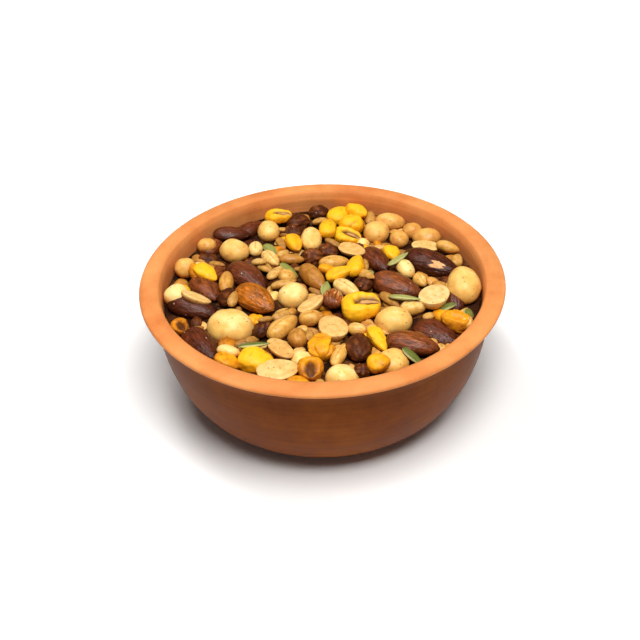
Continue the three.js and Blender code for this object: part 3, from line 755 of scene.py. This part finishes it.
def salt_and_glints(tree, grain, colour):
    """Puts pale specks of about 0.5 mm on a skin, partly grains of salt and partly painted glints. One in
    three cells of 2.4 mm has one.
    """
    grains = add(tree, "TexVoronoi", {"Vector": grain, "Scale": 0.42})
    small = add(tree, "MapRange", {"Value": grains.outputs["Distance"], 1: 0.07, 2: 0.12, 3: 1.0, 4: 0.0})
    few = add(tree, "MapRange", {"Value": grains.outputs["Color"], 1: 0.6, 2: 0.65, 3: 0.0, 4: 0.75})
    here = add(tree, "Math", {0: small.outputs[0], 1: few.outputs[0]}, operation="MULTIPLY")
    salt_and_glint_specked = add(tree, "Mix", {"Factor": here.outputs[0], 6: colour, 7: "f0d3b0"}, data_type="RGBA")
    return salt_and_glint_specked.outputs[2]


def almond_paper():
    """Roasted almond skin: dull brown paper, paler on its ridges and oily in patches, with streaks
    along it that are 0.6 mm wide."""
    material, tree, grain, tone, ridge = skin_material("roasted_almond_skin")
    stretched = add(tree, "Mapping", {"Vector": grain, "Scale": (0.18, 1.0, 1.0)})
    lines = add(tree, "TexNoise", {"Vector": stretched.outputs[0], "Scale": 1.7, "Detail": 4.0})
    blotch = add(tree, "TexNoise", {"Vector": grain, "Scale": 0.28, "Detail": 2.0})
    brown = add(tree, "ValToRGB", {"Fac": tone},
                stops=[(0.0, "3e190a"), (0.3, "552510"), (0.6, "733a19"), (1.0, "9e5712")])
    light = add(tree, "MapRange", {"Value": lines.outputs["Fac"], 1: 0.32, 2: 0.72, 3: 0.5, 4: 1.7})
    worn = add(tree, "MapRange", {"Value": ridge, 1: -0.6, 2: 1.0, 3: 0.5, 4: 1.35})
    patch = add(tree, "MapRange", {"Value": blotch.outputs["Fac"], 1: 0.3, 2: 0.7, 3: 0.8, 4: 1.2})
    both = add(tree, "Math", {0: light.outputs[0], 1: worn.outputs[0]}, operation="MULTIPLY")
    all_three = add(tree, "Math", {0: both.outputs[0], 1: patch.outputs[0]}, operation="MULTIPLY")
    colour = add(tree, "VectorMath", {0: brown.outputs[0], "Scale": all_three.outputs[0]},
                 operation="SCALE")
    bare = add(tree, "MapRange", {"Value": ridge, 1: 1.1, 2: 1.7, 3: 0.0, 4: 1.0})
    skinned = add(tree, "Mix", {"Factor": bare.outputs[0], 6: colour.outputs[0], 7: "d69a5c"},
                  data_type="RGBA")
    # Pale specks: partly grains of salt, partly painted glints.
    salt_and_glint_specked = salt_and_glints(tree, grain, skinned.outputs[2])
    bump = add(tree, "Bump", {"Height": lines.outputs["Fac"], "Strength": 0.6, "Distance": 0.0005})
    rough = add(tree, "MapRange", {"Value": blotch.outputs["Fac"], 1: 0.3, 2: 0.7, 3: 0.22, 4: 0.42})
    finish(tree, salt_and_glint_specked, rough.outputs[0], bump.outputs[0], Specular_IOR_Level=0.25)
    return material


kind_object("almonds", "almond", almond_skin, almond_paper(), sides=96, rings=60)

# ---- the macadamias and other round blanched nuts ----
# Whole kernels out of their shells, roasted to a pale cream that is browner in patches and at
# the tip. No two have quite the same roundness.

KERNEL_LUMP = 0.1  # how far a kernel is from round, as shares of its girth
KERNEL_DENT = 0.035


def kernel_skin(piece, shift, s, over, up):
    """A slightly uneven smooth ball, marked at its tip."""
    at = shift + Vector((s, over, up)) * 1.1
    swell = 1 + KERNEL_LUMP * noise.noise(at) + KERNEL_DENT * noise.noise(at * 2.6)
    return swell, rise(s, 0.7, 1.0)


def blanched(name, shades, size):
    """A blanched kernel: smooth and waxy, mottled in patches of a size in millimetres, with pores
    2.4 mm apart, and toasted where it is marked, save in a peanut's seam, where the brown is painted
    shade."""
    material, tree, grain, tone, tip = skin_material(name)
    cloud = add(tree, "TexNoise", {"Vector": grain, "Scale": 1 / size, "Detail": 4.0, "Roughness": 0.55})
    spread = add(tree, "MapRange", {"Value": cloud.outputs["Fac"], 1: 0.3, 2: 0.7, 3: -0.24, 4: 0.2})
    shade = add(tree, "Math", {0: tone, 1: spread.outputs[0]}, operation="ADD")
    cream = add(tree, "ValToRGB", {"Fac": shade.outputs[0]}, stops=shades)
    # Browner at the tip from toasting, and in a peanut's seam as painted shade.
    toast_and_seam_shade = add(tree, "Math", {0: tip, 1: 0.42}, operation="MULTIPLY")
    browned = add(tree, "Mix", {"Factor": toast_and_seam_shade.outputs[0], 6: cream.outputs[0], 7: "aa6c32"},
                  data_type="RGBA")
    pores = add(tree, "TexVoronoi", {"Vector": grain, "Scale": 0.42})
    pore = add(tree, "MapRange", {"Value": pores.outputs["Distance"], 1: 0.08, 2: 0.2, 3: 0.7, 4: 0.0})
    speckled = add(tree, "Mix", {"Factor": pore.outputs[0], 6: browned.outputs[2], 7: "8a5a2b"},
                   data_type="RGBA")
    bump = add(tree, "Bump", {"Height": cloud.outputs["Fac"], "Strength": 0.25, "Distance": 0.0006})
    rough = add(tree, "MapRange", {"Value": cloud.outputs["Fac"], 1: 0.3, 2: 0.7, 3: 0.3, 4: 0.42})
    finish(tree, speckled.outputs[2], rough.outputs[0], bump.outputs[0], Specular_IOR_Level=0.22)
    return material


CREAM = [(0.0, "b97835"), (0.35, "d49a4a"), (0.7, "e6b661"), (1.0, "f1cf86")]
kind_object("macadamias", "macadamia", kernel_skin, blanched("roasted_macadamia", CREAM, 3.5),
            sides=40, rings=26)

# ---- the halves ----
# Macadamias and peanuts that came apart. The flat side, where the two halves met, is pale
# and has a shallow hollow in it with a rim round it.

HALF_DENT = 0.04  # as a share of the half's girth
DISH = 0.5  # how deep the hollow is, as a share of the flat side's height
HALF_RIM = (0.5, 0.68, 0.86)  # where the browner ring starts, is fullest and ends
RIM_BROWN = 0.35


def half_skin(piece, shift, s, over, up):
    """A dished flat side and a plain round back, marked at the tip and round the dish."""
    at = shift + Vector((s, over, up)) * 1.4
    out = math.hypot(s, over) if up > 0 else 1
    dish = 1 - rise(out, 0.35, 0.75)
    ring = rise(out, HALF_RIM[0], HALF_RIM[1]) * (1 - rise(out, HALF_RIM[1], HALF_RIM[2]))
    return 1 + HALF_DENT * noise.noise(at) - DISH * dish, max(rise(s, 0.6, 1.0), RIM_BROWN * ring)


IVORY = [(0.0, "b5793c"), (0.35, "cf9a52"), (0.7, "e0b56c"), (1.0, "eaca8c")]
kind_object("split_halves", "half_nut", half_skin, blanched("split_nut", IVORY, 2.5),
            sides=40, rings=26)

# ---- the peanuts ----
# Blanched peanuts, whole and split, roasted from cream to golden brown. A whole one has a
# seam along it between its two halves.

PEANUT_DENT = 0.05  # as shares of the peanut's girth
SEAM_DEPTH = 0.1
SEAM_WIDE = 0.16
# The seam is darkened as painted shade.
SEAM_SHADE = 1.5


def peanut_skin(piece, shift, s, over, up):
    """A seam along the top, and slight dents, marked at the tip and, as painted shade, in the seam."""
    at = shift + Vector((s * 1.2, over, up)) * 1.5
    seam = (1 - rise(abs(over), 0.0, SEAM_WIDE)) * (up > 0) * (1 - s * s)
    swell = 1 + PEANUT_DENT * noise.noise(at) - SEAM_DEPTH * seam
    return swell, max(rise(s, 0.6, 1.0), SEAM_SHADE * seam)


GOLD = [(0.0, "945a1e"), (0.35, "bb8033"), (0.7, "d6a04c"), (1.0, "ecc67b")]
kind_object("peanuts", "peanut", peanut_skin, blanched("roasted_peanut", GOLD, 2.2),
            sides=32, rings=24)

# ---- the corn nuts ----
# Large kernels of corn, soaked and fried until crisp. The hull is bright yellow over a blunt
# crown, and a slot with the brown germ runs up one face from the tip.

HULL_LUMP = 0.1  # all as shares of the kernel's girth
HULL_DENT = 0.045
POPPED = (7, 14)  # these burst a little in the fryer
CRINKLED = 2.6  # so their dents are deeper
SWOLLEN = 0.1
FOLD = 0.32
GERM_UP = {0: 0.26, 4: 0.5, 6: 0.6, 18: 0.3, 21: 0.34}  # these lie germ up: how much the slot widens
DARK_GERM = (4, 6)  # and in these the germ is burnt
SLOT_HALF = 0.14  # half the slot's width at the crown
SLOT_SIDE = 0.18
SLOT_DEPTH = 0.55
GERM_HEIGHT = 0.16  # above the bottom of the slot
SHOULDER = 0.4  # how far the hull stands out beside the slot at the tip


def corn_skin(piece, shift, s, over, up):
    """A lumpy hull, marked by brown spots. The slot of one that lies germ up widens from the crown
    to the tip. It is marked with up to 1, and a germ in it that isn't burnt with up to 1.8."""
    at = shift + Vector((s * 1.3, over, up)) * 1.2
    popped = piece.get("row") in POPPED
    dents = HULL_DENT * (CRINKLED if popped else 1) * noise.noise(at * 2.7)
    lumps = HULL_LUMP * noise.noise(at) + dents
    if popped:
        lumps += SWOLLEN - FOLD * (1 - rise(abs(noise.noise(at * 0.7)), 0.0, 0.22))
    if piece.get("row") not in GERM_UP:
        return 1 + lumps, 0.5 * rise(noise.noise(at * 1.7), 0.25, 0.6)
    half = SLOT_HALF + GERM_UP[piece["row"]] * rise(s, -0.4, 0.6) + 0.08 * noise.noise(at * 2.5)
    slot = (1 - rise(abs(over), half, half + SLOT_SIDE)) * rise(up, -0.2, 0.3) * rise(s, -0.5, -0.2)
    shoulders = SHOULDER * rise(s, 0.3, 0.95) * (1 - slot)
    germ = rise(s, -0.2, 0.1) * (1 - rise(abs(over), 0.3 * half, 0.8 * half))
    germ *= piece["row"] not in DARK_GERM
    sunk = (SLOT_DEPTH - GERM_HEIGHT * germ) * slot
    return 1 + lumps + shoulders - sunk, slot * (1 + 0.8 * germ)


def corn_hull():
    """Fried corn hull: a waxy bright yellow, mottled in patches of 3 mm with golden brown. The
    slot is dark brown, and the dried germ in it a paler one."""
    material, tree, grain, tone, germ = skin_material("fried_corn_hull")
    cloud = add(tree, "TexNoise", {"Vector": grain, "Scale": 0.35, "Detail": 4.0, "Roughness": 0.6})
    spread = add(tree, "MapRange", {"Value": cloud.outputs["Fac"], 1: 0.25, 2: 0.75, 3: -0.35, 4: 0.3})
    shade = add(tree, "Math", {0: tone, 1: spread.outputs[0]}, operation="ADD")
    yellow = add(tree, "ValToRGB", {"Fac": shade.outputs[0]},
                 stops=[(0.0, "9c5a14"), (0.3, "c87c18"), (0.6, "e29a14"), (1.0, "f1b420")])
    dry = add(tree, "MapRange", {"Value": germ, 1: 0.9, 2: 1.7, 3: 0.0, 4: 1.0})
    mottled = add(tree, "Math", {0: cloud.outputs["Fac"], 1: dry.outputs[0]}, operation="MULTIPLY")
    dried = add(tree, "ValToRGB", {"Fac": mottled.outputs[0]},
                stops=[(0.0, "381606"), (0.3, "8a5226"), (0.55, "c0905a")])
    deep_germ = add(tree, "MapRange", {"Value": germ, 1: 0.3, 2: 0.95, 3: 0.0, 4: 0.95})
    colour = add(tree, "Mix", {"Factor": deep_germ.outputs[0], 6: yellow.outputs[0], 7: dried.outputs[0]},
                 data_type="RGBA")
    bump = add(tree, "Bump", {"Height": cloud.outputs["Fac"], "Strength": 0.35, "Distance": 0.0008})
    finish(tree, colour.outputs[2], 0.4, bump.outputs[0], Specular_IOR_Level=0.16)
    return material


kind_object("corn_nuts", "corn", corn_skin, corn_hull(), sides=60, rings=40)

# ---- the raisins ----
# Sun-dried grapes. As each dried, its skin folded into deep sharp wrinkles.

SHRUNK = 0.87  # how full a raisin is at the bottom of its folds
FOLD_HEIGHT = 0.36


def raisin_skin(piece, shift, s, over, up):
    """Deep folds, marked by their height."""
    at = shift + Vector((s * 1.1, over, up)) * 1.6
    fold = abs(noise.noise(at)) + 0.5 * abs(noise.noise(at * 2.2)) + 0.25 * abs(noise.noise(at * 4.6))
    return SHRUNK + FOLD_HEIGHT * fold, fold


def raisin_hide():
    """Dried grape skin: nearly black brown, redder on the folds, with a dull waxy shine over fine
    wrinkles 0.8 mm apart."""
    material, tree, grain, tone, fold = skin_material("sun_dried_raisin")
    fine = add(tree, "TexNoise", {"Vector": grain, "Scale": 1.3, "Detail": 4.0})
    raised = add(tree, "MapRange", {"Value": fold, 1: 0.1, 2: 0.7, 3: 0.0, 4: 0.6})
    pale = add(tree, "Math", {0: tone, 1: 0.4}, operation="MULTIPLY")
    shade = add(tree, "Math", {0: raised.outputs[0], 1: pale.outputs[0]}, operation="ADD")
    colour = add(tree, "ValToRGB", {"Fac": shade.outputs[0]},
                 stops=[(0.0, "2a1206"), (0.5, "52270f"), (1.0, "82461c")])
    bump = add(tree, "Bump", {"Height": fine.outputs["Fac"], "Strength": 0.5, "Distance": 0.0005})
    # Pale specks: partly grains of salt, partly painted glints.
    salt_and_glint_specked = salt_and_glints(tree, grain, colour.outputs[0])
    finish(tree, salt_and_glint_specked, 0.42, bump.outputs[0], Specular_IOR_Level=0.12)
    return material


kind_object("raisins", "raisin", raisin_skin, raisin_hide(), sides=40, rings=28)

# ---- the sunflower kernels ----
# Sunflower seeds out of their hulls, slim and teardrop shaped, roasted to a straw colour. A low
# ridge runs along each.

SEED_DENT = 0.04  # as shares of the seed's girth
SEED_RIDGE = 0.05


def seed_skin(piece, shift, s, over, up):
    """A plain slim seed with a low ridge on top, marked at its tip."""
    at = shift + Vector((s * 1.5, over, up))
    ridge = (1 - rise(abs(over), 0.0, 0.3)) * (up > 0) * (1 - s * s)
    return 1 + SEED_DENT * noise.noise(at) + SEED_RIDGE * ridge, rise(s, 0.5, 1.0)


STRAW = [(0.0, "875726"), (0.35, "a97634"), (0.7, "c8964a"), (1.0, "e2ba72")]
kind_object("sunflower_kernels", "sunflower", seed_skin,
            blanched("roasted_sunflower_kernel", STRAW, 1.6), sides=24, rings=18)

# ---- the pumpkin seeds ----
# Seeds of a pumpkin that grows them without hulls, dried. Each is flat, with a papery green skin
# that is paler round the edge.

PUMPKIN_DENT = 0.03  # as a share of the seed's girth


def pumpkin_skin(piece, shift, s, over, up):
    """A flat seed, marked on the rim round its edge."""
    at = shift + Vector((s * 1.5, over, up))
    return 1 + PUMPKIN_DENT * noise.noise(at), rise(abs(over), 0.8, 1.0)


def pumpkin_paper():
    """Pumpkin seed skin: olive green, paler at the rim, with lines along it 0.6 mm apart."""
    material, tree, grain, tone, rim = skin_material("green_pumpkin_seed")
    stretched = add(tree, "Mapping", {"Vector": grain, "Scale": (0.2, 1.0, 1.0)})
    lines = add(tree, "TexNoise", {"Vector": stretched.outputs[0], "Scale": 1.6, "Detail": 3.0})
    green = add(tree, "ValToRGB", {"Fac": tone},
                stops=[(0.0, "4f5a24"), (0.5, "84873f"), (1.0, "b2ad68")])
    edged = add(tree, "Mix", {"Factor": rim, 6: green.outputs[0], 7: "b5b071"}, data_type="RGBA")
    light = add(tree, "MapRange", {"Value": lines.outputs["Fac"], 1: 0.3, 2: 0.7, 3: 0.75, 4: 1.2})
    colour = add(tree, "VectorMath", {0: edged.outputs[2], "Scale": light.outputs[0]}, operation="SCALE")
    bump = add(tree, "Bump", {"Height": lines.outputs["Fac"], "Strength": 0.3, "Distance": 0.0004})
    finish(tree, colour.outputs[0], 0.38, bump.outputs[0], Specular_IOR_Level=0.2)
    return material


kind_object("pumpkin_seeds", "pumpkin", pumpkin_skin, pumpkin_paper(), sides=24, rings=18)

# ---- the mix further down ----
# What lies under the top layer: more of the same, broken smaller, in the shade. It is one
# lumpy mass that fills the bowl, since nothing of it shows but what is between the pieces.

CORE_TURNS = 96
CORE_RINGS = 40
CORE_GAP = 0.45  # between the mass and the bowl, in millimetres
CORE_EDGE = 0.5  # so far from its rim the mass stays level
CORE_LUMP = 1.3
CORE_SETTLED = 0.5  # how much lower the mass lies between its lumps
COARSE_LUMPS = 0.22  # to the millimetre
FINE_LUMPS = 0.6


def make_core():
    """Spins the mass's section and crumples its top."""
    mass = bmesh.new()
    top = MIX_LEVEL - CORE_DEPTH
    section = [Vector((0, 0, FLOOR / MM + CORE_GAP))]
    for k in range(SIDE_STEPS + 1):
        point = side(FOOT_R - WALL, FLOOR, NECK_R - WALL, k / SIDE_STEPS) / MM
        if point.z < top:
            section.append(Vector((point.x - CORE_GAP, 0, max(point.z, FLOOR / MM + CORE_GAP))))
    rim = section[-1].x
    for k in range(CORE_RINGS + 1):
        radius = rim * (1 - k / CORE_RINGS)
        section.append(Vector((radius, 0, level(radius, 0) - CORE_DEPTH)))
    spin_points(mass, [mass.verts.new(point) for point in section], CORE_TURNS, merge=0.0001)
    for vert in mass.verts:
        if vert.co.z > top - 0.1 and math.hypot(vert.co.x, vert.co.y) < rim - CORE_EDGE:
            lump = noise.noise(vert.co * COARSE_LUMPS) + 0.5 * noise.noise(vert.co * FINE_LUMPS)
            vert.co.z += CORE_LUMP * lump - CORE_SETTLED
        vert.co *= MM
    return mass


def crumbs():
    """Crushed nuts and raisins, painted a dark red brown as painted shade, with paler crumbs 4 mm
    apart, each rough with grains of 1 mm."""
    material, tree = new_material("broken_mix")
    place = add(tree, "TexCoord").outputs["Object"]
    cells = add(tree, "TexVoronoi", {"Vector": place, "Scale": 260.0})
    cloud = add(tree, "TexNoise", {"Vector": place, "Scale": 900.0, "Detail": 3.0})
    # Painted shade: the lower mix is coloured far darker than the pieces on top.
    colour = add(tree, "ValToRGB", {"Fac": cells.outputs["Color"]},
                 stops=[(0.0, "1c0c05"), (0.4, "31180b"), (0.75, "4e2a13"), (1.0, "74461f")])
    height = add(tree, "Math", {0: cloud.outputs["Fac"], 1: cells.outputs["Distance"]},
                 operation="SUBTRACT")
    bump = add(tree, "Bump", {"Height": height.outputs[0], "Strength": 0.8, "Distance": 0.002})
    finish(tree, colour.outputs[0], 0.7, bump.outputs[0], Specular_IOR_Level=0.08)
    return material


mesh_object("mix_further_down", make_core(), crumbs(), node="trail_mix")

# ---- the table and the light ----
# A plain pale table in a white room. A broad soft window lights the bowl from above and a little
# in front, a lamp from behind at the left, and a third evens out the table behind the bowl.

TABLE_SIZE = 4.0
ROOM_LIGHT = 0.1

laminate, laminate_tree = new_material("white_laminate")
finish(laminate_tree, "f4f3f1", 0.7)
top = bmesh.new()
bmesh.ops.create_grid(top, x_segments=1, y_segments=1, size=TABLE_SIZE / 2)
table = solid("table", top, laminate)

room = bpy.data.worlds.new("white_room")
room.use_nodes = True
room.node_tree.nodes["Background"].inputs["Color"].default_value = to_linear("ffffff")
room.node_tree.nodes["Background"].inputs["Strength"].default_value = ROOM_LIGHT
bpy.context.scene.world = room
bpy.context.scene.view_settings.view_transform = "Standard"

# Each lamp has its place, what it points at, its size, its power in watts and how far its light
# spreads, in degrees.
for name, place, aim, size, power, spread in [
    ("window", (0.07, -0.25, 0.7), (0, 0, 0.03), 0.34, 6.4, 180),
    ("ceiling", (-0.2, 0.12, 0.7), (0, 0, 0.03), 0.2, 1.9, 180),
    ("backdrop", (0, 0.66, 0.5), (0, 0.66, 0), 0.9, 7, 50),
]:
    light = bpy.data.lights.new(name, "AREA")
    light.size = size
    light.energy = power
    light.spread = math.radians(spread)
    lamp = put(name, light)
    lamp.location = place
    lamp.rotation_euler = (Vector(aim) - Vector(place)).to_track_quat("-Z", "Y").to_euler()

# ---- the camera ----
# It looks down at the bowl from the front, a little tilted.

AIM = Vector((0, 0, 28)) * MM
CAMERA_AT = Vector((0, -316.0, 272.2)) * MM
ROLL = math.radians(-1.71)
SENSOR = 36  # in millimetres, as the lens
LENS = 56.25
PICTURE = 640  # the picture's side, in pixels
AIM_SHOWS_AT = (323.4, 324.2)  # from its left and top

view = bpy.data.cameras.new("camera")
view.sensor_width = SENSOR
view.lens = LENS
view.shift_x = (PICTURE / 2 - AIM_SHOWS_AT[0]) / PICTURE
view.shift_y = (AIM_SHOWS_AT[1] - PICTURE / 2) / PICTURE
camera = put("camera", view)
camera.location = CAMERA_AT
looking = (AIM - CAMERA_AT).to_track_quat("-Z", "Y").to_matrix().to_4x4()
camera.rotation_euler = (looking @ Matrix.Rotation(ROLL, 4, "Z")).to_euler()
bpy.context.scene.camera = camera
